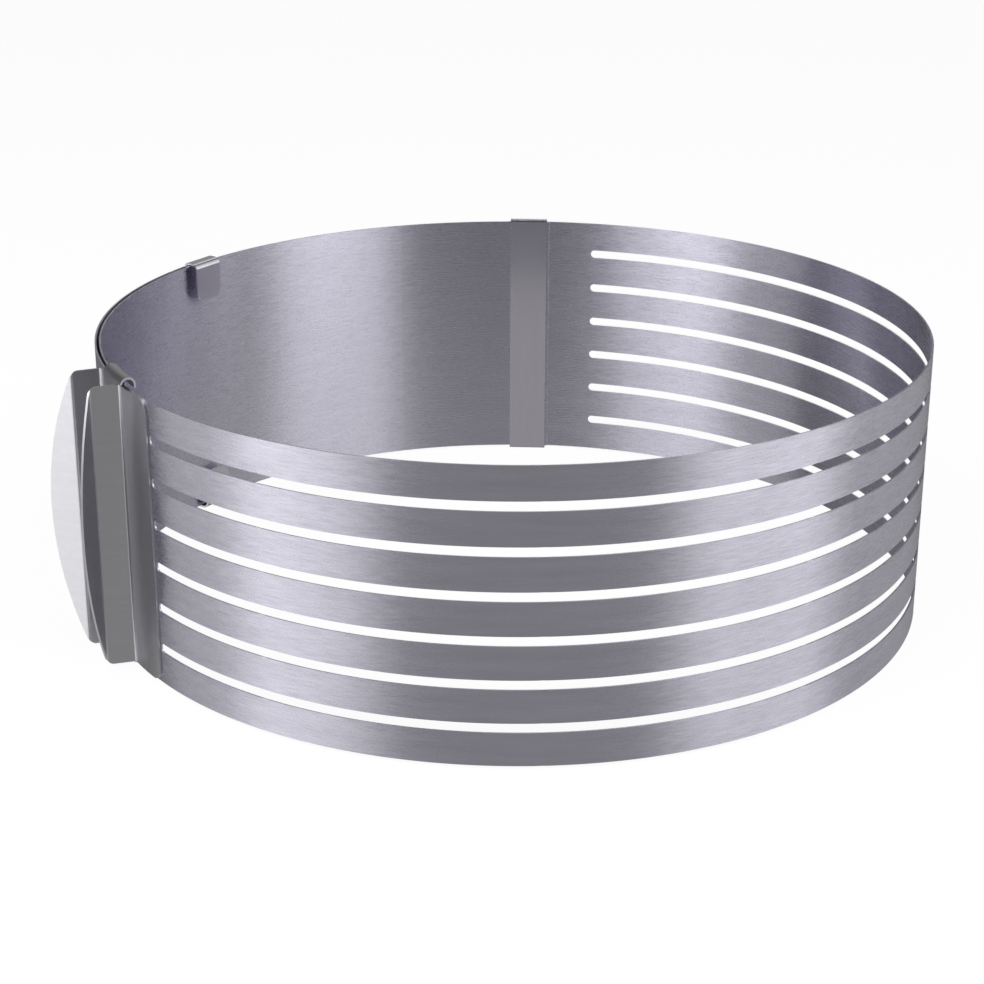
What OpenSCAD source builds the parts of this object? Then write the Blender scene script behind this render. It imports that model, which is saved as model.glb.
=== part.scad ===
// Adjustable cake leveler: a slotted strip and a plain strip of spring steel, lapped into a ring.
// Angles run anticlockwise from +X, seen from above. The ring is modelled closed.

/* [Ring] */
// Outside diameter of the slotted strip with the grips together
ring_d = 252; // [200:1:320]
// Height of both strips
band_h = 85; // [60:1:110]
// Thickness of both strips
sheet = 0.5; // [0.4:0.05:0.8]
// Clear gap between the tail and the plain strip inside it
layer_gap = 0.8; // [0.6:0.05:1.5]

/* [Slots] */
// Number of slots, one above the other
slot_count = 6; // [3:1:8]
// Height of a slot
slot_w = 2.8; // [2:0.1:3.6]
// Angle at which the slots end beside the strap
slot_back_end = 77.3; // [74:0.1:79]
// Angle at which the slots end beside the front grip
slot_grip_end = 217.7; // [216:0.1:222]

/* [Strap and keeper] */
// Thickness of the sheet of the strap, the keeper and the grips
clip_sheet = 0.6; // [0.5:0.05:1]
// Angle of the middle of the strap
strap_at = 87.6; // [86:0.1:90]
// Width of the strap along the ring
strap_w = 13; // [8:0.5:20]
// Overlap of the two strips behind the strap
lap_len = 15; // [10:0.5:22]
// Angle of the middle of the keeper on the tail
keeper_at = 147.1; // [140:0.1:152]
// Width of the keeper along the ring
keeper_w = 12; // [8:0.5:20]
// Length of the tabs that hang from the folds
tab_len = 13.4; // [8:0.2:20]
// Distance of the keeper's tabs from the plain strip
keeper_reach = 2; // [1:0.1:4]
// Gap between a fold and the strip's edge inside it
fold_gap = 0.4; // [0.3:0.05:1]
// The same gap above the strip in the keeper
keeper_gap = 0.2; // [0.2:0.05:0.4]
// Inside radius of the folds over the edges
fold_r = 0.6; // [0.4:0.05:1]
// Inside radius where the keeper turns down into its tabs
keeper_roll = 1.5; // [0.6:0.1:2]
// Inside radius of the keeper's other folds, close to the strip
keeper_fold_r = 0.25; // [0.15:0.05:0.25]
// Radius of the tabs' free corners
tab_corner = 4; // [1:0.5:6]

/* [Grips] */
// Angle of the fold between flange and fin on the front grip
front_at = 210.2; // [208:0.1:213]
// Angle of the same fold on the rear grip
rear_at = 202.7; // [200:0.1:203.5]
// Width of the front grip's flange along the ring
flange_w = 16; // [12:0.5:20]
// Direction of the front grip's fin
front_fin_dir = 197.5; // [190:0.5:212]
// Direction of the rear grip's fin
rear_fin_dir = 203; // [195:0.5:210]
// Length of a fin out from its flange
fin_len = 7.2; // [5:0.1:15]
// Width of a lip at its middle
lip_len = 9.2; // [6:0.1:16]
// Angle of the fold between fin and lip on the front grip
front_lip_turn = 58.5; // [20:1:70]
// Angle of the same fold on the rear grip, the other way
rear_lip_turn = 45; // [20:1:70]
// Inside radius of the grips' folds
bend_r = 0.8; // [0.5:0.1:2]
// Height left free above and below a grip
grip_inset = 0; // [0:0.1:3]
// Radius of the front flange's free corners
flange_corner = 4; // [1:0.5:7]
// Gap between the rear grip's flange and the tail that slides in it
slide_gap = 0.5; // [0.4:0.05:1]
// Gap between the two grips with the ring closed
grip_gap = 0.4; // [0.3:0.1:2]
// Height of the rear grip's rolled hook above the strip
hook_rise = 2.4; // [2.2:0.1:4]
// Distance that the rolled hook reaches inwards past the plain strip
hook_reach = 1.2; // [0.5:0.1:2]
// Depth of the rolled hook's free end below the strip's upper edge
hook_end = 0.9; // [0.5:0.1:4]
// Angle at which the rear grip's hooks start
hook_from = 204; // [203.5:0.1:205]
// Width of the hooks along the ring
hook_w = 15; // [8:0.5:16]
// Height of the lower hook's leg inside the ring
hook_leg = 4; // [2:0.5:8]

/* [Hidden] */
$fn = 96;
// Segments that stand for the bending of each stretch of strip
slotted_n = 6;
tail_n = 3;
plain_n = 5;
// Angle where the plain strip leaves the lap joint and its first segment starts
plain_start = 98;
// Angle where the plain strip becomes concentric with the tail
plain_settled = 143;
// Angle between the tail's segments and the piece that carries the front grip
grip_band_end = 199;
// Distance from the slots' ends to the nearest bending line
slot_margin = 5;
// Gap between two segments of a strip, and between parts welded face to face
seg_gap = 0.05;
weld_gap = 0.02;
// Length of a cutter that has to pass right through a sheet
cutter = 10;
// Angle by which a cutter runs past a segment's end
over = 1;
// Offset that keeps a curved face from just touching a flat one
step = 0.03;

ring_r = ring_d / 2;
foot_h = clip_sheet + fold_gap;
rim_h = foot_h + band_h;
bar_h = (band_h - slot_count * slot_w) / (slot_count + 1);
pitch = bar_h + slot_w;
plain_r = ring_r - sheet - layer_gap;
lap_r = ring_r - sheet - weld_gap;
slotted_start = slot_back_end - deg(slot_margin, ring_r);
slotted_end = slot_grip_end + deg(slot_margin, ring_r);
slotted_step = (slotted_start + 360 - slotted_end) / slotted_n;
tail_end = keeper_at - deg(keeper_w / 2 - weld_gap, ring_r);
tail_step = (grip_band_end - tail_end) / tail_n;
rear_flange_r = ring_r + slide_gap;
rear_flange_end = front_at - deg(grip_gap + bend_r + clip_sheet, ring_r);
plain_end = rear_flange_end;
plain_step = (plain_end - plain_settled) / (plain_n - 2);
hook_to = hook_from + deg(hook_w, ring_r);
// Distance between the centres of the two blending arcs of the plain strip and the ring's axis
blend_cos = cos(plain_settled - plain_start);
blend_off = (lap_r - plain_r) * (1 + sqrt(1 - (1 - blend_cos) / 2)) / (1 - blend_cos);
bend_c = bend_r + clip_sheet / 2;
grip_z = foot_h + grip_inset;
grip_h = band_h - 2 * grip_inset;
// Height from which the rear grip's upper hook may run on over the front grip
front_clear_z = grip_z + grip_h + fold_gap;

// Angle that a length takes up on a circle
function deg(len, r) = len / r * 180 / PI;

function on_ring(r, a) = [r * cos(a), r * sin(a), 0];

// Sheet on a cylinder about the origin's axis, from angle a0 anticlockwise to a1
module wall(r_out, t, a0, a1, z, h) {
    rotate([0, 0, a0])
        rotate_extrude(angle = a1 - a0, $fn = 360)
            translate([r_out - t, z])
                square([t, h]);
}

// The same sheet, shortened by half a segment gap at both ends
module segment(r_out, a0, a1, z, h) {
    trim = deg(seg_gap / 2, r_out);
    wall(r_out, sheet, a0 + trim, a1 - trim, z, h);
}

// Ends of the slots: from angle a0 to a1, with the round end at the angle "round_at"
module slots(a0, a1, round_at) {
    for (k = [0:slot_count - 1]) {
        z = foot_h + bar_h + k * pitch;
        wall(ring_r + cutter / 2, cutter, a0, a1, z, slot_w);
        rotate([0, 0, round_at])
            translate([ring_r - cutter / 2, 0, z + slot_w / 2])
                rotate([0, 90, 0])
                    cylinder(r = slot_w / 2 + step, h = cutter);
    }
}

// Rounded bar of a given width and height in the plane of radius and height, with corners of
// the radius ra on the side of the ring's axis and rb on the other
module round_bar(x, z, w, h, ra, rb) {
    translate([x + ra, z]) square([w - ra - rb, h]);
    translate([x, z + ra]) square([w - rb, h - 2 * ra]);
    translate([x + ra, z + rb]) square([w - ra, h - 2 * rb]);
    for (cz = [z + ra, z + h - ra])
        translate([x + ra, cz])
            circle(r = ra, $fn = 48);
    for (cz = [z + rb, z + h - rb])
        translate([x + w - rb, cz])
            circle(r = rb, $fn = 48);
}

// Sheet folded over the lower and upper edges, with a plate on one side and tabs on the other
module folded_section(r_in, r_out, top, ra, rb, plate_inside) {
    t = clip_sheet;
    difference() {
        round_bar(r_in, 0, r_out - r_in, top, ra + t, rb + t);
        round_bar(r_in + t, t, r_out - r_in - 2 * t, top - 2 * t, ra, rb);
        translate([plate_inside ? r_out - 2 * t : r_in - t, tab_len])
            square([3 * t, top - 2 * tab_len]);
    }
}

// Cuts that round the free corners of the tabs, on both sides of the piece's middle
module tab_corners(r, w, top) {
    for (side = [-1, 1], end = [0, 1])
        mirror([0, side < 0 ? 1 : 0, 0])
            translate([r - 1.5 * clip_sheet, w / 2 - tab_corner, 0])
                translate([0, 0, end * top])
                    mirror([0, 0, end])
                        translate([0, 0, tab_len - tab_corner])
                            difference() {
                                cube([3 * clip_sheet, 2 * tab_corner, 2 * tab_corner]);
                                rotate([0, 90, 0])
                                    cylinder(r = tab_corner + step, h = 2 * cutter, center = true);
                            }
}

// Strap or keeper of width w at angle "at", with folds of the inside radius ra on the side of the
// ring's axis and rb on the other
module clip(at, w, r_in, r_out, top, ra, rb, plate_inside) {
    half = deg(w / 2, ring_r);
    difference() {
        rotate([0, 0, at - half])
            rotate_extrude(angle = 2 * half, $fn = 360)
                folded_section(r_in, r_out, top, ra, rb, plate_inside);
        rotate([0, 0, at])
            tab_corners(plate_inside ? r_out : r_in, w, top);
    }
}

// Points of a sheet's middle line, each [x, y, heading]: an arc that turns left for turn > 0
function arc_from(q, r, turn, n) =
    let (side = turn > 0 ? r : -r, cx = q[0] - side * sin(q[2]), cy = q[1] + side * cos(q[2]))
    [for (i = [1:n])
        let (h = q[2] + turn * i / n)
        [cx + side * sin(h), cy - side * cos(h), h]];

function forward(q, len) = [q[0] + len * cos(q[2]), q[1] + len * sin(q[2]), q[2]];

function last(points) = points[len(points) - 1];

// Points beside a middle line, to its left for d > 0
function beside(points, d) = [for (q = points) [q[0] - d * sin(q[2]), q[1] + d * cos(q[2])]];

// Flange, fold, fin and lip of a grip, bent from one sheet. The flange runs clockwise from the
// angle flange_end to the fold at the angle "at", on the inside radius r.
module grip_sheet(at, r, flange_end, dir, turn) {
    flange_c = r + clip_sheet / 2;
    start = [flange_c * cos(flange_end), flange_c * sin(flange_end), flange_end - 90];
    flange = concat([start], arc_from(start, flange_c, at - flange_end, 16));
    fold = arc_from(last(flange), bend_c, dir - at + 90, 12);
    fin = forward(last(fold), fin_len);
    lip_fold = arc_from(fin, bend_c, turn, 8);
    tip = forward(last(lip_fold), lip_len);
    path = concat(flange, fold, [fin], lip_fold, [tip]);
    left = beside(path, clip_sheet / 2);
    right = beside(path, -clip_sheet / 2);
    difference() {
        translate([0, 0, grip_z])
            linear_extrude(grip_h)
                polygon(concat(left, [for (i = [len(right) - 1:-1:0]) right[i]]));
        translate([last(lip_fold)[0], last(lip_fold)[1], grip_z + grip_h / 2])
            rotate([0, 0, dir + turn])
                lip_bow(turn);
    }
}

// What is cut from a lip that points along +X: it leaves a bow that meets the fin's corners
module lip_bow(turn) {
    start_x = -bend_c * sin(abs(turn));
    bow = lip_len - start_x;
    bow_r = (grip_h * grip_h / 4 + bow * bow) / (2 * bow);
    difference() {
        translate([start_x, -cutter / 2, -grip_h])
            cube([bow + cutter, cutter, 2 * grip_h]);
        translate([lip_len - bow_r, 0, 0])
            rotate([90, 0, 0])
                cylinder(r = bow_r, h = 2 * cutter, center = true, $fn = 360);
    }
}

// Hook over the upper edge and the flat fold under the lower one, in radius and height
module hook_top_section(r_in, r_out) {
    r = (r_out - r_in) / 2;
    crest = rim_h + hook_rise - r;
    translate([r_in + r, 0])
        difference() {
            union() {
                translate([0, crest]) circle(r = r, $fn = 48);
                translate([-r, rim_h - hook_end]) square([2 * r, crest - rim_h + hook_end]);
            }
            translate([0, crest]) circle(r = r - clip_sheet, $fn = 48);
            translate([clip_sheet - r, 0]) square([2 * (r - clip_sheet), crest]);
        }
}

module hook_bottom_section(r_in, r_out) {
    w = r_out - r_in;
    difference() {
        round_bar(r_in, 0, w, 3 * hook_leg, fold_r + clip_sheet, fold_r + clip_sheet);
        round_bar(r_in + clip_sheet, clip_sheet, w - 2 * clip_sheet, 4 * hook_leg, fold_r, fold_r);
        translate([0, foot_h + hook_leg])
            square([2 * ring_r, 3 * hook_leg]);
    }
}

module slotted_lap() {
    lap_end = strap_at + deg(lap_len / 2, ring_r);
    round_at = slot_back_end - deg(slot_w / 2, ring_r);
    color("#a9a8b3")
        difference() {
            wall(ring_r, sheet, slotted_start + deg(seg_gap / 2, ring_r), lap_end, foot_h, band_h);
            slots(slotted_start - over, round_at, round_at);
        }
}

module plain_lap() {
    lap_start = strap_at - deg(lap_len / 2, ring_r);
    color("#a3a2ad")
        wall(lap_r, sheet, lap_start, plain_start - deg(seg_gap / 2, lap_r), foot_h, band_h);
}

// The strap is so narrow inside that its folds get a smaller radius: a third of it stays flat
module strap() {
    r_in = lap_r - sheet - weld_gap - clip_sheet;
    r_out = ring_r + weld_gap + clip_sheet;
    r = min(fold_r, (r_out - r_in - 2 * clip_sheet) / 3);
    color("#8d8c95")
        clip(strap_at, strap_w, r_in, r_out, rim_h + foot_h, r, r, true);
}

// Bars of the slotted strip between two bending lines
module slotted(i) {
    a1 = slotted_start - (i - 1) * slotted_step;
    color("#b5b4c0")
        for (k = [0:slot_count])
            segment(ring_r, a1 - slotted_step, a1, foot_h + k * pitch, bar_h);
}

module grip_band() {
    round_at = slot_grip_end + deg(slot_w / 2, ring_r);
    color("#a9a8b3")
        difference() {
            segment(ring_r, grip_band_end, slotted_end, foot_h, band_h);
            slots(round_at, slotted_end + over, round_at);
        }
}

module front_grip() {
    r = ring_r + weld_gap;
    end = front_at + deg(flange_w, r);
    color("#85858c")
        difference() {
            grip_sheet(front_at, r, end, front_fin_dir, front_lip_turn);
            for (up = [0, 1])
                rotate([0, 0, end])
                    translate([r, -flange_corner, grip_z + up * grip_h])
                        mirror([0, 0, up])
                            translate([0, 0, flange_corner])
                                difference() {
                                    translate([-cutter / 2, 0, -2 * flange_corner])
                                        cube([cutter, 2 * flange_corner, 2 * flange_corner]);
                                    rotate([0, 90, 0])
                                        cylinder(r = flange_corner + step, h = 2 * cutter, center = true);
                                }
        }
}

module tail(i) {
    a1 = grip_band_end - (i - 1) * tail_step;
    color("#a9a8b3")
        segment(ring_r, a1 - tail_step, a1, foot_h, band_h);
}

module keeper() {
    color("#8d8c95")
        clip(keeper_at, keeper_w, plain_r - sheet - keeper_reach - clip_sheet,
            ring_r + weld_gap + clip_sheet, rim_h + keeper_gap + clip_sheet,
            keeper_roll, keeper_fold_r, false);
}

// Two arcs that ease the plain strip inwards, then concentric segments
module plain(i) {
    settle_mid = (plain_start + plain_settled) / 2;
    a0 = plain_settled + (i - 3) * plain_step;
    color("#a3a2ad")
        if (i == 1) {
            translate(on_ring(blend_off, plain_start))
                segment(lap_r - blend_off, plain_start, settle_mid, foot_h, band_h);
        } else if (i == 2) {
            translate(on_ring(-blend_off, plain_settled))
                segment(plain_r + blend_off, settle_mid, plain_settled, foot_h, band_h);
        } else {
            segment(plain_r, a0, a0 + plain_step, foot_h, band_h);
        }
}

module rear_grip() {
    r_in = plain_r - sheet - weld_gap - clip_sheet;
    r_out = rear_flange_r + clip_sheet - step;
    leg_end = rear_flange_end - deg(step, ring_r);
    color("#9b9aa2") {
        grip_sheet(rear_at, rear_flange_r, rear_flange_end, rear_fin_dir, -rear_lip_turn);
        difference() {
            rotate([0, 0, hook_from])
                rotate_extrude(angle = hook_to - hook_from, $fn = 360)
                    hook_top_section(r_in - hook_reach, r_out);
            wall(ring_r + cutter, cutter, leg_end, hook_to + over, 0, front_clear_z);
        }
        rotate([0, 0, hook_from])
            rotate_extrude(angle = leg_end - hook_from, $fn = 360)
                hook_bottom_section(r_in, r_out);
    }
}

slotted_lap();
plain_lap();
strap();
for (i = [1:slotted_n])
    slotted(i);
grip_band();
front_grip();
for (i = [1:tail_n])
    tail(i);
keeper();
for (i = [1:plain_n])
    plain(i);
rear_grip();
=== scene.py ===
"""Looks of an adjustable cake leveler: two strips of brushed spring steel lapped into a ring, a strap
and a keeper folded over their edges, and two squeeze grips. Sizes are in millimetres and angles in
degrees, anticlockwise from +X seen from above. The meshes are made in metres."""
import math
from collections import namedtuple

import bmesh
import bpy
from mathutils import Matrix, Vector


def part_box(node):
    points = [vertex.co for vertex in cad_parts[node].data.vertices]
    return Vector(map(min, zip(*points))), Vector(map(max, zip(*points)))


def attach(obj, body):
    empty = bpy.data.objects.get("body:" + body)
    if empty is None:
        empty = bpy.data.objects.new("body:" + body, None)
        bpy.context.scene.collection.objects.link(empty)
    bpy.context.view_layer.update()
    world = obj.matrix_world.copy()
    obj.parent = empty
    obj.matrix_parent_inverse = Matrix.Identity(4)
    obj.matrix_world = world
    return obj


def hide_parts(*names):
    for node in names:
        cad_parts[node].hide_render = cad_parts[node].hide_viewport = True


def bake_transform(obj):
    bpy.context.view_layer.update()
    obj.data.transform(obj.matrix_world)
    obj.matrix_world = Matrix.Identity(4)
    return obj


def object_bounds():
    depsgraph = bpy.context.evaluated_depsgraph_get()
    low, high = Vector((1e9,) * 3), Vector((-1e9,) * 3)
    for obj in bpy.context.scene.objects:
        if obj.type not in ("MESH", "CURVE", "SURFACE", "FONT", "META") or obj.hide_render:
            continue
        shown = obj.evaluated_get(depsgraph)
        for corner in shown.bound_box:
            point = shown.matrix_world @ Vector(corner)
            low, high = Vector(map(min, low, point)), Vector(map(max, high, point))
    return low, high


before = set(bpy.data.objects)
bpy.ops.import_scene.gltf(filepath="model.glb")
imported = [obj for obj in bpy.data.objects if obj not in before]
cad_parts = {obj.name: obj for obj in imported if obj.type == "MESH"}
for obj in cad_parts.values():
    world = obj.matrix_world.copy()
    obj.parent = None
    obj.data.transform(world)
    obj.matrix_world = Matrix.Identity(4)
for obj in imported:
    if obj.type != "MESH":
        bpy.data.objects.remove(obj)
cad_low, cad_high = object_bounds()

# Sizes read from the frame
MM = 0.001
band_low, band_high = (corner.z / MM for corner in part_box("tail_1"))
ring_r = -cad_low.y / MM
keeper_top_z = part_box("keeper")[1].z / MM
strap_top_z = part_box("strap")[1].z / MM
hook_top_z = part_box("rear_grip")[1].z / MM
grip_low, grip_high = (corner.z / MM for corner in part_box("front_grip"))

# Strips
sheet = 0.5
layer_gap = 0.8
weld_gap = 0.02
slot_count = 6
slot_w = 2.8
slot_back_end = 77.3
slot_grip_end = 217.7
lap_at = 87.6
lap_len = 15
plain_start = 98
plain_settled = 143
grip_band_end = 199
slot_margin = 5
slotted_n = 6
tail_n = 3
plain_n = 5

# Strap, keeper and grips
clip_sheet = 0.6
strap_w = 13
strap_front_r = 0.55
strap_back_r = 0.35
keeper_at = 147.1
keeper_w = 12
keeper_reach = 2
keeper_roll = 1.5
keeper_fold_r = 0.25
tab_len = 13.4
tab_corner = 4
fold_r = 0.6
front_at = 210.2
rear_at = 202.7
flange_w = 16
front_fin_dir = 197.5
rear_fin_dir = 203
fin_len = 7.2
lip_len = 9.2
front_lip_turn = 58.5
rear_lip_turn = 45
lip_corner = 2.4
lip_tip = 1
bend_r = 0.8
flange_corner = 4
slide_gap = 0.5
grip_gap = 0.4
hook_from = 204
hook_w = 15
hook_leg = 4
hook_reach = 1.2
hook_end = 0.9
hook_clear = 0.4
hook_row_gap = 0.05

# How finely the sheets are divided, and the rounding of their edges
column_step = 1.4
bend_step = 9
corner_step = 9
bow_step = 5
slot_end_step = 15
lip_corner_parts = 6
lip_corner_reach = 8
hook_end_parts = 3
sheet_edge = 0.1
clip_edge = 0.13
sharp_angle = 18

# Lengths nearer than these count as one: along a path, in a sheet and between a grip's columns. The
# digits are what is kept of a place in a sheet and of a column's length.
path_touch = 1e-6
touch = 1e-4
mark_touch = 1e-3
place_digits = 4
mark_digits = 3

# The steels' colours
strip_colour = (0.60, 0.584, 0.668)
clip_colour = (0.68, 0.662, 0.72)
grip_colour = (0.65, 0.643, 0.675)

# Brushing: the marks' length and width as multiples of the material's own, their detail and their shift
Marks = namedtuple("Marks", "long wide detail shift")
fine_marks = Marks(1, 1, 3, 0)
broad_marks = Marks(5, 8, 2, 3.7)
tilt_marks = Marks(0.8, 1.6, 1, 9.1)
fine_share = 0.6
gloss_change = 0.03
noise_low = 0.25
noise_high = 0.75
across_marks = 0.25
uv_name = "strip"

# What the camera sees of the studio is white, and the floor keeps a little of its own shade
world_grey = 0.5
floor_size = 6
floor_grey = 0.8
floor_whiteness = 0.93

# What the steel sees. Each card has its first and last azimuth, how soft these two edges are, its level
# below the horizon, where the steel sees it on the table, its level above, and the elevations between
# which it stands above the horizon.
Card = namedtuple("Card", "first last soft_first soft_last below above low high")
table_level = 0.2
black_level = 0.08
horizon = 8
level_soft = 20
studio_cards = [
    Card(168.5, 214, 4, 30, 0.32, 1.45, horizon, 90),  # left wall
    Card(198, 233, 22, 26, 0.49, 2.05, horizon, 90),   # left softbox
    Card(224, 324, 20, 20, 0.17, 0, horizon, 90),      # front
    Card(314, 356, 26, 24, 0.47, 2.2, horizon, 90),    # right softbox
    Card(343, 50, 30, 30, 0.22, 0.7, horizon, 60),     # right wall
    Card(8, 22, 10, 10, 0, 1.2, 15, 75),               # lamp on the right
    Card(74, 94, 8, 6, 0, 0.8, horizon, 70),           # backdrop
    Card(94, 128, 6, 12, 0, 0.25, horizon, 70),        # backdrop in shade
]
shell_r = 0.84
shell_shift = Vector((-0.12, 0, 0))
shell_around = 180
shell_rows = 24

# What lights the floor and gives the shadow, in metres and watts
Lamp = namedtuple("Lamp", "name azimuth elevation distance size power")
studio_lamps = [Lamp("key", 225, 50, 1.2, 0.9, 11), Lamp("fill", 320, 45, 1.3, 0.9, 9)]

# The photograph's viewpoint, found from the rims and the slots: its place in metres and its three axes
camera_sensor = 36
camera_lens = 79.567
camera_place = Vector((0, -0.63759, 0.27619))
camera_right = Vector((0.99993956, 0.01085317, 0.00175782))
camera_up = Vector((-0.00554558, 0.35982006, 0.93300524))
camera_back = Vector((0.00949357, -0.93295859, 0.3598585))


def deg(length, r):
    return math.degrees(length / r)


def unit(angle):
    return Vector((math.cos(math.radians(angle)), math.sin(math.radians(angle)), 0))


# Radii, angles and slots worked out from the sizes
plain_r = ring_r - sheet - layer_gap
lap_r = ring_r - sheet - weld_gap
strip_first = lap_at + deg(lap_len / 2, ring_r)
plain_first = lap_at - deg(lap_len / 2, ring_r)
slotted_start = slot_back_end - deg(slot_margin, ring_r)
slotted_end = slot_grip_end + deg(slot_margin, ring_r) - 360
slotted_step = (slotted_start - slotted_end) / slotted_n
tail_end = keeper_at - deg(keeper_w / 2 - weld_gap, ring_r)
tail_step = (grip_band_end - tail_end) / tail_n
rear_flange_end = front_at - deg(grip_gap + bend_r + clip_sheet, ring_r)
plain_step = (rear_flange_end - plain_settled) / (plain_n - 2)
bar_h = (band_high - band_low - slot_count * slot_w) / (slot_count + 1)
pitch = bar_h + slot_w
bend_c = bend_r + clip_sheet / 2
grip_middle_z = (grip_low + grip_high) / 2

# The plain strip eases from the lap's radius to its own on two arcs, which differ from these by blend_off
settle_mid = (plain_start + plain_settled) / 2
blend_cos = math.cos(math.radians(plain_settled - plain_start))
blend_off = (lap_r - plain_r) * (1 + math.sqrt(1 - (1 - blend_cos) / 2)) / (1 - blend_cos)


class Path:
    """A line of straight and round stretches in a plane, as a sheet's face follows it."""

    def __init__(self, x, y, heading):
        self.parts = []
        self.length = 0
        self.end = (x, y, heading)

    def add(self, length, turn=0):
        """Appends a stretch that turns left by turn degrees."""
        self.parts.append((self.length, length, turn, self.end))
        self.length += length
        self.end = self.at(self.length)
        return self

    def arc(self, r, turn):
        return self.add(r * math.radians(abs(turn)), turn)

    def at(self, l):
        """Point and heading at the length l from the start."""
        start, length, turn, (x, y, heading) = next(
            (p for p in reversed(self.parts) if p[0] <= l + path_touch), self.parts[0])
        run = l - start
        h0 = math.radians(heading)
        if turn == 0:
            return (x + run * math.cos(h0), y + run * math.sin(h0), heading)
        angle = turn * run / length
        r = length / math.radians(turn)
        h1 = math.radians(heading + angle)
        moved_x = x + r * (math.sin(h1) - math.sin(h0))
        moved_y = y - r * (math.cos(h1) - math.cos(h0))
        return (moved_x, moved_y, heading + angle)

    def beside(self, l, d):
        """The point at the length l and the distance d to the left."""
        x, y, heading = self.at(l)
        return (x - d * math.sin(math.radians(heading)), y + d * math.cos(math.radians(heading)))

    def stations(self):
        """Lengths at which a sheet needs a column: fine in the tight bends, coarse elsewhere."""
        marks = [0]
        for start, length, turn, _ in self.parts:
            n = max(1, round(length / column_step), round(abs(turn) / bend_step))
            marks += [start + length * (i + 1) / n for i in range(n)]
        return marks


def quarter(step):
    """Angles in radians from 0 to a right angle, step degrees apart."""
    return [math.radians(a) for a in range(0, 91, step)]


def circle_height(r, off):
    """Half the height of a circle at the distance off from its middle."""
    return math.sqrt(max(0, r ** 2 - off ** 2))


def corner_marks(r):
    """Lengths from a sheet's end at which its rounded corner needs a column."""
    return [r * (1 - math.cos(a)) for a in quarter(corner_step)]


def in_order(marks):
    """The marks sorted, each once."""
    return sorted({round(m, mark_digits) for m in marks})


def plate(name, columns, place, thick, edge, seams=(False, False)):
    """A closed sheet. Each column is a length l and its spans of sheet, (low, high), across, or None where
    the sheet is cut away. The front face is at depth 0 and the back at -thick; place(l, across, depth) puts
    a point in the ring's frame. A seam is an end that meets the next piece of the same strip, so its edges
    stay sharp."""
    bm = bmesh.new()
    made = {}

    def vert(l, across):
        key = (round(l, place_digits), round(across, place_digits))
        if key not in made:
            made[key] = bm.verts.new((l, across, 0))
        return made[key]

    for (l0, spans0), (l1, spans1) in zip(columns, columns[1:]):
        for span0, span1 in zip(spans0, spans1):
            if span0 is None or span1 is None or l1 - l0 < touch:
                continue
            corners = [vert(l0, span0[0]), vert(l1, span1[0]), vert(l1, span1[1]), vert(l0, span0[1])]
            corners = [v for i, v in enumerate(corners) if v is not corners[i - 1]]
            if len(corners) > 2:
                bm.faces.new(corners)
    fronts = list(bm.faces)
    back = {v: bm.verts.new((v.co.x, v.co.y, -thick)) for v in list(bm.verts)}
    rims = [(loop.vert, loop.link_loop_next.vert) for face in fronts for loop in face.loops
            if len(loop.edge.link_faces) == 1]
    for face in fronts:
        bm.faces.new([back[v] for v in reversed(face.verts)])
    for a, b in rims:
        bm.faces.new([b, a, back[a], back[b]])
    ends = [l for l, seam in zip((columns[0][0], columns[-1][0]), seams) if seam]
    bm.edges.ensure_lookup_table()
    rounded = []
    for a, b in rims:
        if not any(abs(a.co.x - l) < touch and abs(b.co.x - l) < touch for l in ends):
            rounded += [bm.edges.get((a, b)), bm.edges.get((back[a], back[b]))]
    bmesh.ops.bevel(bm, geom=rounded, offset=edge, segments=2, profile=0.5, affect="EDGES",
                    clamp_overlap=True)
    bmesh.ops.dissolve_degenerate(bm, dist=touch, edges=bm.edges)
    uv = bm.loops.layers.uv.new(uv_name)
    for face in bm.faces:
        for loop in face.loops:
            loop[uv].uv = (loop.vert.co.x * MM, (loop.vert.co.y + loop.vert.co.z) * MM)
    for v in bm.verts:
        v.co = place(*v.co) * MM
    bmesh.ops.recalc_face_normals(bm, faces=bm.faces)
    mesh = bpy.data.meshes.new(name)
    bm.to_mesh(mesh)
    bm.free()
    mesh.shade_smooth()
    mesh.set_sharp_from_angle(angle=math.radians(sharp_angle))
    piece = bpy.data.objects.new(name, mesh)
    bpy.context.scene.collection.objects.link(piece)
    return piece


def lengths(first, last, extra=()):
    """Lengths from first to last at which a strip needs a column, with the extra ones between them."""
    n = max(1, round((last - first) / column_step))
    marks = [first + (last - first) * i / n for i in range(n + 1)]
    marks += [e for e in extra if first < e < last]
    return sorted({round(m, place_digits) for m in marks})


def length_at(angle):
    """Length along the slotted strip and its tail from the lap's end to an angle, which falls from there."""
    return (strip_first - angle) * math.pi / 180 * ring_r


# Where the round ends of the slots have their centres, and the columns that each needs
back_round = length_at(slot_back_end - deg(slot_w / 2, ring_r))
front_round = length_at(slot_grip_end + deg(slot_w / 2, ring_r) - 360)
round_marks = [math.sin(a) * slot_w / 2 for a in quarter(slot_end_step)]


def slot_height(l, round_at, open_side):
    """Half the height of a slot at the length l. Its round end's centre is at the length round_at."""
    past = (l - round_at) * open_side
    if past >= 0:
        return slot_w / 2
    return circle_height(slot_w / 2, past)


def bars(half):
    """The bars of the slotted strip, as spans, where the slots are 2 * half high."""
    middles = [band_low + bar_h + slot_w / 2 + k * pitch for k in range(slot_count)]
    lows = [band_low] + [z + half for z in middles]
    highs = [z - half for z in middles] + [band_high]
    return list(zip(lows, highs))


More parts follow.
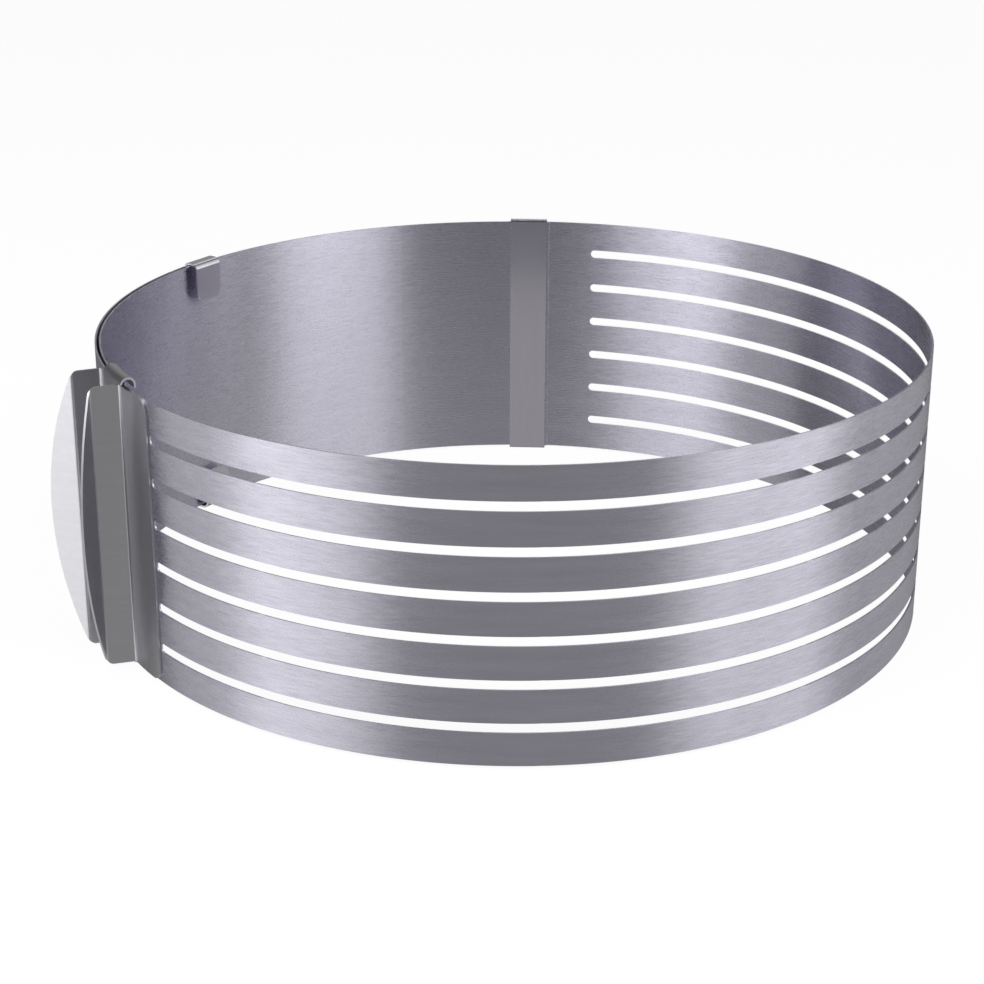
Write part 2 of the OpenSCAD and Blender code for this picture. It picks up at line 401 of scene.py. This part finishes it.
def outer_place(l, z, depth):
    """The slotted strip's outer face: l runs clockwise from the lap's end."""
    return unit(strip_first - deg(l, ring_r)) * (ring_r + depth) + Vector((0, 0, z))


def outer_piece(name, a0, a1, seams):
    """A piece of the slotted strip from the angle a0 clockwise to a1, with the slots that cross it."""
    marks = [back_round - m for m in round_marks] + [front_round + m for m in round_marks]
    columns = []
    for l in lengths(length_at(a0), length_at(a1), marks):
        half = min(slot_height(l, back_round, 1), slot_height(l, front_round, -1))
        columns.append((l, bars(half)))
    return plate(name, columns, outer_place, sheet, sheet_edge, seams)


# The plain strip from above, anticlockwise: under the strap, on two arcs that ease it inwards, and
# behind the tail
plain_arcs = [(lap_r, plain_first, plain_start), (lap_r - blend_off, plain_start, settle_mid),
              (plain_r + blend_off, settle_mid, plain_settled), (plain_r, plain_settled, rear_flange_end)]
plain_line = Path(*(unit(plain_first) * lap_r).xy, plain_first + 90)
for r, a0, a1 in plain_arcs:
    plain_line.arc(r, a1 - a0)


def plain_length(angle):
    """Length along the plain strip to where it faces an angle."""
    return sum(r * math.radians(min(angle, a1) - a0) for r, a0, a1 in plain_arcs if angle > a0)


def plain_place(l, z, depth):
    """The plain strip's outer face: l runs anticlockwise from the lap's end."""
    return Vector((*plain_line.beside(l, -depth), z))


def plain_piece(name, a0, a1, seams):
    """A piece of the plain strip from the angle a0 anticlockwise to a1."""
    columns = [(l, [(band_low, band_high)]) for l in lengths(plain_length(a0), plain_length(a1))]
    return plate(name, columns, plain_place, sheet, sheet_edge, seams)


def math_node(tree, operation, *values):
    """A math node whose inputs are linked sockets or plain numbers; returns its output."""
    node = tree.nodes.new("ShaderNodeMath")
    node.operation = operation
    for socket, value in zip(node.inputs, values):
        if hasattr(value, "links"):
            tree.links.new(value, socket)
        else:
            socket.default_value = value
    return node.outputs[0]


def vector_node(tree, operation, first, second=None):
    """A vector math node of one or two linked sockets; returns the node."""
    node = tree.nodes.new("ShaderNodeVectorMath")
    node.operation = operation
    tree.links.new(first, node.inputs[0])
    if second is not None:
        tree.links.new(second, node.inputs[1])
    return node


def streaks(tree, along, across, marks):
    """Noise in the sheet's own lengths, spread over 0 to 1. Its cells are along by across millimetres,
    times the marks' length and width."""
    strip = tree.nodes.new("ShaderNodeUVMap")
    strip.uv_map = uv_name
    scaled = tree.nodes.new("ShaderNodeMapping")
    scaled.inputs["Location"].default_value = (marks.shift, marks.shift, 0)
    scaled.inputs["Scale"].default_value = (1 / (along * marks.long * MM), 1 / (across * marks.wide * MM), 1)
    tree.links.new(strip.outputs["UV"], scaled.inputs["Vector"])
    noise = tree.nodes.new("ShaderNodeTexNoise")
    noise.noise_dimensions = "2D"
    noise.inputs["Scale"].default_value = 1.0
    noise.inputs["Detail"].default_value = marks.detail
    tree.links.new(scaled.outputs["Vector"], noise.inputs["Vector"])
    spread = tree.nodes.new("ShaderNodeMapRange")
    spread.inputs["From Min"].default_value = noise_low
    spread.inputs["From Max"].default_value = noise_high
    tree.links.new(noise.outputs["Fac"], spread.inputs["Value"])
    return spread.outputs["Result"]


def brushed_steel(name, base, along, across, shade, roughness, anisotropic, waver):
    """Satin steel with long thin brushing marks, along by across millimetres. Each mark differs a little in
    shade and gloss and tilts along the sheet by up to waver, so the edges of what the steel mirrors break up
    as they do on real brushing. Where anisotropic is over 0, the highlight spreads across the marks."""
    material = bpy.data.materials.new(name)
    material.use_nodes = True
    tree = material.node_tree
    shader = tree.nodes["Principled BSDF"]
    shader.inputs["Metallic"].default_value = 1.0
    shader.inputs["Anisotropic"].default_value = anisotropic
    shader.inputs["Anisotropic Rotation"].default_value = across_marks
    tangent = tree.nodes.new("ShaderNodeTangent")
    tangent.direction_type = "UV_MAP"
    tangent.uv_map = uv_name
    tree.links.new(tangent.outputs["Tangent"], shader.inputs["Tangent"])
    fine = streaks(tree, along, across, fine_marks)
    broad = streaks(tree, along, across, broad_marks)
    mark = streaks(tree, along, across, tilt_marks)

    tint = tree.nodes.new("ShaderNodeMix")
    tint.data_type = "RGBA"
    colours = [socket for socket in tint.inputs if socket.type == "RGBA"]
    colours[0].default_value = tuple(c * (1 - shade) for c in base) + (1,)
    colours[1].default_value = tuple(min(1, c * (1 + shade)) for c in base) + (1,)
    fine_part = math_node(tree, "MULTIPLY", fine, fine_share)
    tree.links.new(math_node(tree, "MULTIPLY_ADD", broad, 1 - fine_share, fine_part), tint.inputs["Factor"])
    tree.links.new(next(o for o in tint.outputs if o.type == "RGBA"), shader.inputs["Base Color"])
    gloss = math_node(tree, "MULTIPLY_ADD", fine, 2 * gloss_change, roughness - gloss_change)
    tree.links.new(gloss, shader.inputs["Roughness"])

    shape = tree.nodes.new("ShaderNodeNewGeometry")
    tilt = vector_node(tree, "SCALE", tangent.outputs["Tangent"])
    tree.links.new(math_node(tree, "MULTIPLY_ADD", mark, 2 * waver, -waver), tilt.inputs["Scale"])
    leaned = vector_node(tree, "ADD", shape.outputs["Normal"], tilt.outputs[0])
    whole = vector_node(tree, "NORMALIZE", leaned.outputs[0])
    tree.links.new(whole.outputs[0], shader.inputs["Normal"])
    return material


def make_strip_steel():
    """The slotted strip: strong marks in a bluish steel."""
    return brushed_steel("strip_steel", strip_colour, along=6, across=0.35, shade=0.11,
                         roughness=0.28, anisotropic=1.0, waver=0.012)


def make_plain_steel():
    """The plain strip: the same steel with fainter marks."""
    return brushed_steel("plain_steel", strip_colour, along=6, across=0.4, shade=0.05,
                         roughness=0.28, anisotropic=1.0, waver=0.008)


def make_clip_steel():
    """Strap and keeper: lighter and glossier, with the same highlight in every direction."""
    return brushed_steel("clip_steel", clip_colour, along=3, across=0.3, shade=0.03,
                         roughness=0.18, anisotropic=0, waver=0.003)


def make_grip_steel():
    """The two grips: a duller steel with short marks."""
    return brushed_steel("grip_steel", grip_colour, along=3, across=0.25, shade=0.05,
                         roughness=0.34, anisotropic=0.95, waver=0.006)


def finish_piece(piece, material, slot, *nodes):
    """Gives a piece its material and hides the frame's nodes that it stands for. The slot is not used."""
    piece.data.materials.append(material)
    if nodes:
        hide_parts(*nodes)


def numbered(name, count):
    return [f"{name}_{i + 1}" for i in range(count)]


def build_outer_strip():
    """One piece from the middle of each stiff segment to the middle of the next."""
    bodies = ["lap_joint"] + numbered("slotted", slotted_n) + ["front_grip"] + numbered("tail", tail_n)
    nodes = ["slotted_lap"] + numbered("slotted", slotted_n) + ["grip_band"] + numbered("tail", tail_n)
    slotted_middles = [slotted_start - (i + 0.5) * slotted_step for i in range(slotted_n)]
    tail_middles = [grip_band_end - 360 - (i + 0.5) * tail_step for i in range(tail_n)]
    cuts = [strip_first] + slotted_middles + [front_at - 360] + tail_middles + [tail_end - 360]
    for i, (a0, a1) in enumerate(zip(cuts, cuts[1:])):
        piece = outer_piece(f"outer_strip_{i + 1}", a0, a1, (i > 0, i < len(cuts) - 2))
        finish_piece(piece, strip_steel, "slotted_strip", nodes[i])
        if i < len(bodies) - 1:
            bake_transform(piece)
        else:
            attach(piece, bodies[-1])


def build_plain_strip():
    """The plain strip in the same way."""
    settled_middles = [plain_settled + (i + 0.5) * plain_step for i in range(plain_n - 2)]
    middles = [(plain_start + settle_mid) / 2, (settle_mid + plain_settled) / 2] + settled_middles
    bodies = ["lap_joint"] + numbered("plain", plain_n - 1) + ["rear_grip"]
    nodes = ["plain_lap"] + numbered("plain", plain_n)
    cuts = [plain_first] + middles + [rear_flange_end]
    for i, (a0, a1) in enumerate(zip(cuts, cuts[1:])):
        piece = plain_piece(f"plain_strip_{i + 1}", a0, a1, (i > 0, i < len(cuts) - 2))
        finish_piece(piece, plain_steel, "plain_strip", nodes[i])
        if i < len(bodies) - 1:
            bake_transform(piece)
        else:
            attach(piece, bodies[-1])


def build_folded(name, at, width, r_in, r_out, top, r_tabs, r_plate, plate_inside, slot):
    """A plate folded over both edges of the strips, with tabs on its other side. The folds have the inside
    radius r_plate beside the plate and r_tabs beside the tabs."""
    t = clip_sheet
    side = 1 if plate_inside else -1
    tab_r, plate_r = (r_out - t / 2, r_in + t / 2) if plate_inside else (r_in + t / 2, r_out - t / 2)
    near = r_tabs + t / 2
    far = r_plate + t / 2
    hanging = tab_len - t / 2 - near
    across = abs(tab_r - plate_r) - near - far
    path = Path(tab_r, tab_len, -90)
    path.add(hanging).arc(near, -90 * side).add(across).arc(far, -90 * side).add(top - t - 2 * far)
    path.arc(far, -90 * side).add(across).arc(near, -90 * side).add(hanging)

    def place(l, w, depth):
        radius, z = path.beside(l, side * (t / 2 + depth))
        return unit(at + deg(w, ring_r)) * radius + Vector((0, 0, z))

    rounding = corner_marks(tab_corner)
    columns = []
    for l in in_order(path.stations() + rounding + [path.length - c for c in rounding]):
        past = max(0, tab_corner - min(l, path.length - l))
        half = width / 2 - tab_corner + circle_height(tab_corner, past)
        columns.append((l, [(-half, half)]))
    piece = plate(name, columns, place, t, clip_edge)
    finish_piece(piece, clip_steel, slot, slot)
    return piece


def build_strap():
    """The strap over the lap joint, with its plate inside and its tabs outside."""
    r_in = lap_r - sheet - weld_gap - clip_sheet
    r_out = ring_r + weld_gap + clip_sheet
    strap = build_folded("strap_sheet", lap_at, strap_w, r_in, r_out, strap_top_z, strap_back_r,
                         strap_front_r, True, "strap")
    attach(strap, "lap_joint")


def build_keeper():
    """The keeper on the tail's end, with its plate outside and its tabs inside."""
    r_in = plain_r - sheet - keeper_reach - clip_sheet
    r_out = ring_r + weld_gap + clip_sheet
    keeper = build_folded("keeper_sheet", keeper_at, keeper_w, r_in, r_out, keeper_top_z, keeper_roll,
                          keeper_fold_r, False, "keeper")
    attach(keeper, f"tail_{tail_n}")


def smooth_min(a, b, k):
    """The smaller of two values, with the change from one to the other rounded over k."""
    return min(a, b) - max(0, k - abs(a - b)) ** 2 / (4 * k)


def grip_plan(at, flange_c, flange_end, direction, turn):
    """The middle of a grip's sheet seen from above, on flange, fold, fin, fold and lip, and the length
    where the lip starts. The flange's middle has the radius flange_c."""
    start = unit(flange_end) * flange_c
    path = Path(start.x, start.y, flange_end - 90)
    path.arc(flange_c, at - flange_end).arc(bend_c, direction - at + 90).add(fin_len)
    lip_start = path.length
    path.arc(bend_c, turn).add(lip_len)
    return path, lip_start


def grip_half_height(l, lip_start, lip_end):
    """Half a grip's height at the length l: the fin is straight and the lip is a bow."""
    half = (grip_high - grip_low) / 2
    lip_w = lip_end - lip_start
    bow_r = (half ** 2 + lip_w ** 2) / (2 * lip_w)
    bow = circle_height(bow_r, l - lip_end + bow_r)
    return smooth_min(half, bow, lip_corner) if l < lip_end - lip_tip else bow


def grip_marks(path, lip_start):
    """Lengths at which a grip needs a column: more of them on the bow and at its rounded start."""
    bow = [lip_start + (path.length - lip_start) * math.sin(a) for a in quarter(bow_step)]
    steps = range(-lip_corner_reach, lip_corner_reach)
    return path.stations() + bow + [lip_start + i * lip_corner / lip_corner_parts for i in steps]


def build_front_grip():
    """Flange with rounded corners, fold, fin and bowed lip of one sheet."""
    r = ring_r + weld_gap
    path, lip_start = grip_plan(front_at, r + clip_sheet / 2, front_at + deg(flange_w, r), front_fin_dir,
                                front_lip_turn)

    def place(l, z, depth):
        x, y = path.beside(l, clip_sheet / 2 + depth)
        return Vector((x, y, z))

    columns = []
    for l in in_order(grip_marks(path, lip_start) + corner_marks(flange_corner)):
        half = grip_half_height(l, lip_start, path.length)
        if l < flange_corner:
            half += circle_height(flange_corner, flange_corner - l) - flange_corner
        columns.append((l, [(grip_middle_z - half, grip_middle_z + half)]))
    piece = plate("front_grip_sheet", columns, place, clip_sheet, clip_edge)
    finish_piece(piece, grip_steel, "front_grip", "front_grip")
    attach(piece, "front_grip")


def build_rear_grip():
    """The same with the lip turned the other way. The flange runs on over the strips' upper edge as a
    rolled hook and under their lower edge as a flat fold, all of the same sheet. The section is the way up
    the hooked part: leg, lower fold, flange, roll and the hook's end. Its lengths minus shift are heights
    on the flange."""
    t = clip_sheet
    flange_c = ring_r + slide_gap + t / 2
    path, lip_start = grip_plan(rear_at, flange_c, rear_flange_end, rear_fin_dir, -rear_lip_turn)
    inner_c = plain_r - sheet - weld_gap - t / 2
    roll_r = (flange_c - inner_c + hook_reach) / 2
    roll_z = hook_top_z - t / 2 - roll_r
    corner_r = fold_r + t / 2
    straight_low = t / 2 + corner_r
    section = Path(inner_c, band_low + hook_leg, -90)
    section.add(band_low + hook_leg - straight_low).arc(corner_r, 90)
    section.add(flange_c - inner_c - 2 * corner_r).arc(corner_r, 90)
    shift = section.length - straight_low
    lower_rows = [l - shift for l in section.stations()][:-1]
    section.add(roll_z - straight_low)
    section.arc(roll_r, 180).add(roll_z - band_high + hook_end)
    clear_z = grip_high + hook_clear
    upper_rows = [l - shift for l in section.stations() if l - shift > clear_z + hook_row_gap]
    hook_to = hook_from + deg(hook_w, ring_r)
    hook_first, hook_last = (math.radians(rear_flange_end - a) * flange_c for a in (hook_to, hook_from))

    def place(l, across, depth):
        radius, z = section.beside(across + shift, -(t / 2 + depth))
        x, y = path.beside(l, radius - flange_c)
        return Vector((x, y, z))

    lower = list(zip(lower_rows, lower_rows[1:] + [grip_low]))
    upper = [(grip_high, clear_z)] + list(zip([clear_z] + upper_rows, upper_rows))
    columns = []

    def column(l, hooked, whole):
        """Folds are there where hooked. Where not whole, only the hook above clear_z is left."""
        half = grip_half_height(l, lip_start, path.length)
        low = lower if hooked and whole else [None] * len(lower)
        high = upper if hooked else [None] * len(upper)
        if not whole:
            high = [None] + upper[1:]
        middle = (grip_middle_z - half, grip_middle_z + half) if whole else None
        columns.append((l, low + [middle] + high))

    hook_marks = [hook_first * i / hook_end_parts for i in range(hook_end_parts + 1)] + [hook_last]
    for l in in_order(grip_marks(path, lip_start) + hook_marks):
        if l < mark_touch:
            column(l, True, False)
        if l > -mark_touch:
            column(l, l < hook_last + mark_touch, True)
        if abs(l - hook_last) < mark_touch:
            column(l, False, True)
    piece = plate("rear_grip_sheet", columns, place, t, clip_edge)
    finish_piece(piece, grip_steel, "rear_grip", "rear_grip")
    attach(piece, "rear_grip")


def seen_share(tree):
    """1 for camera, glossy and transmission rays, and 0 for the light that falls on the matt floor."""
    path = tree.nodes.new("ShaderNodeLightPath")
    total = path.outputs["Is Camera Ray"]
    for ray in ("Is Glossy Ray", "Is Transmission Ray"):
        total = math_node(tree, "MAXIMUM", total, path.outputs[ray])
    return total


def mix_by(tree, share, first, second, output):
    """Shows the first shader where share is 0 and the second where it is 1."""
    mixed = tree.nodes.new("ShaderNodeMixShader")
    tree.links.new(share, mixed.inputs["Fac"])
    tree.links.new(first.outputs[0], mixed.inputs[1])
    tree.links.new(second.outputs[0], mixed.inputs[2])
    tree.links.new(mixed.outputs[0], output.inputs["Surface"])


def build_world():
    """Grey light for the matt floor, and white behind the object."""
    world = bpy.data.worlds.new("studio")
    bpy.context.scene.world = world
    world.use_nodes = True
    tree = world.node_tree
    tree.nodes.clear()
    soft = tree.nodes.new("ShaderNodeBackground")
    soft.inputs["Color"].default_value = (world_grey, world_grey, world_grey, 1)
    white = tree.nodes.new("ShaderNodeBackground")
    white.inputs["Color"].default_value = (1, 1, 1, 1)
    mix_by(tree, seen_share(tree), soft, white, tree.nodes.new("ShaderNodeOutputWorld"))


def make_floor_white():
    """Matt floor that the camera sees as nearly white, with a faint shadow."""
    material = bpy.data.materials.new("floor_white")
    material.use_nodes = True
    tree = material.node_tree
    tree.nodes.clear()
    matt = tree.nodes.new("ShaderNodeBsdfDiffuse")
    matt.inputs["Color"].default_value = (floor_grey, floor_grey, floor_grey, 1)
    white = tree.nodes.new("ShaderNodeEmission")
    dimmed = math_node(tree, "MULTIPLY", seen_share(tree), floor_whiteness)
    mix_by(tree, dimmed, matt, white, tree.nodes.new("ShaderNodeOutputMaterial"))
    return material


def build_floor():
    bpy.ops.mesh.primitive_plane_add(size=floor_size, location=(0, 0, 0))
    floor = bpy.context.object
    floor.name = "floor"
    floor.data.materials.append(make_floor_white())
    floor.visible_glossy = False


def fade(value, edge, soft=level_soft):
    """1 well below the edge and 0 well above it, smooth over the width soft."""
    t = min(1, max(0, (edge + soft / 2 - value) / soft))
    return t * t * (3 - 2 * t)


def card_level(azimuth, elevation):
    """What the steel sees in a direction: the table or the dark above it, and the cards."""
    below = fade(elevation, horizon)
    level = black_level + (table_level - black_level) * below
    for card in studio_cards:
        half = (card.last - card.first) % 360 / 2
        off = (azimuth - card.first - half + 180) % 360 - 180
        across = fade(-off, half, card.soft_first) * fade(off, half, card.soft_last)
        standing = (1 - fade(elevation, card.low)) * fade(elevation, card.high)
        level += across * (card.below * below + card.above * standing)
    return level


def make_card_glow():
    """Gives off the level that each point of the shell holds."""
    material = bpy.data.materials.new("card")
    material.use_nodes = True
    tree = material.node_tree
    tree.nodes.clear()
    shade = tree.nodes.new("ShaderNodeAttribute")
    shade.attribute_name = "level"
    glow = tree.nodes.new("ShaderNodeEmission")
    output = tree.nodes.new("ShaderNodeOutputMaterial")
    tree.links.new(shade.outputs["Color"], glow.inputs["Color"])
    tree.links.new(glow.outputs[0], output.inputs["Surface"])
    return material


def shell_mesh():
    """A ball of rings with a flat cap at each end."""
    bm = bmesh.new()
    rings = []
    for row in range(1, shell_rows):
        polar = math.pi * row / shell_rows
        turns = [math.tau * i / shell_around for i in range(shell_around)]
        rings.append([bm.verts.new((shell_r * math.sin(polar) * math.cos(turn),
                                    shell_r * math.sin(polar) * math.sin(turn),
                                    shell_r * math.cos(polar))) for turn in turns])
    for upper, lower in zip(rings, rings[1:]):
        for i in range(shell_around):
            j = (i + 1) % shell_around
            bm.faces.new([upper[i], upper[j], lower[j], lower[i]])
    bm.faces.new(list(reversed(rings[0])))
    bm.faces.new(rings[-1])
    mesh = bpy.data.meshes.new("studio_shell")
    bm.to_mesh(mesh)
    bm.free()
    return mesh


def build_studio_shell():
    """A ball of cards around the object, which only the steel's reflections see."""
    mesh = shell_mesh()
    shell = bpy.data.objects.new("studio_shell", mesh)
    shell.location = shell_shift
    bpy.context.scene.collection.objects.link(shell)
    shades = mesh.attributes.new("level", "FLOAT_COLOR", "POINT")
    for v in mesh.vertices:
        x, y, z = v.co + shell_shift
        level = card_level(math.degrees(math.atan2(y, x)), math.degrees(math.atan2(z, math.hypot(x, y))))
        shades.data[v.index].color = (level, level, level, 1)
    mesh.materials.append(make_card_glow())
    shell.visible_camera = False
    shell.visible_diffuse = False
    shell.visible_shadow = False


def build_lamp(name, azimuth, elevation, distance, size, power):
    """A square lamp that faces the ring's middle and isn't mirrored in the steel."""
    light = bpy.data.lights.new(name, "AREA")
    light.shape = "SQUARE"
    light.size = size
    light.energy = power
    lamp = bpy.data.objects.new(name, light)
    bpy.context.scene.collection.objects.link(lamp)
    flat = unit(azimuth) * math.cos(math.radians(elevation))
    lamp.location = (flat + Vector((0, 0, math.sin(math.radians(elevation))))) * distance
    lamp.rotation_mode = "QUATERNION"
    lamp.rotation_quaternion = lamp.location.to_track_quat("Z", "Y")
    lamp.visible_glossy = False


def build_camera():
    camera = bpy.data.cameras.new("camera")
    camera.sensor_width = camera_sensor
    camera.lens = camera_lens
    viewer = bpy.data.objects.new("camera", camera)
    bpy.context.scene.collection.objects.link(viewer)
    turned = Matrix((camera_right, camera_up, camera_back)).transposed().to_4x4()
    viewer.matrix_world = Matrix.Translation(camera_place) @ turned
    bpy.context.scene.camera = viewer


strip_steel = make_strip_steel()
plain_steel = make_plain_steel()
clip_steel = make_clip_steel()
grip_steel = make_grip_steel()

build_outer_strip()
build_plain_strip()
build_strap()
build_keeper()
build_front_grip()
build_rear_grip()

build_world()
build_floor()
build_studio_shell()
for lamp in studio_lamps:
    build_lamp(*lamp)
build_camera()
bpy.context.scene.view_settings.view_transform = "Standard"
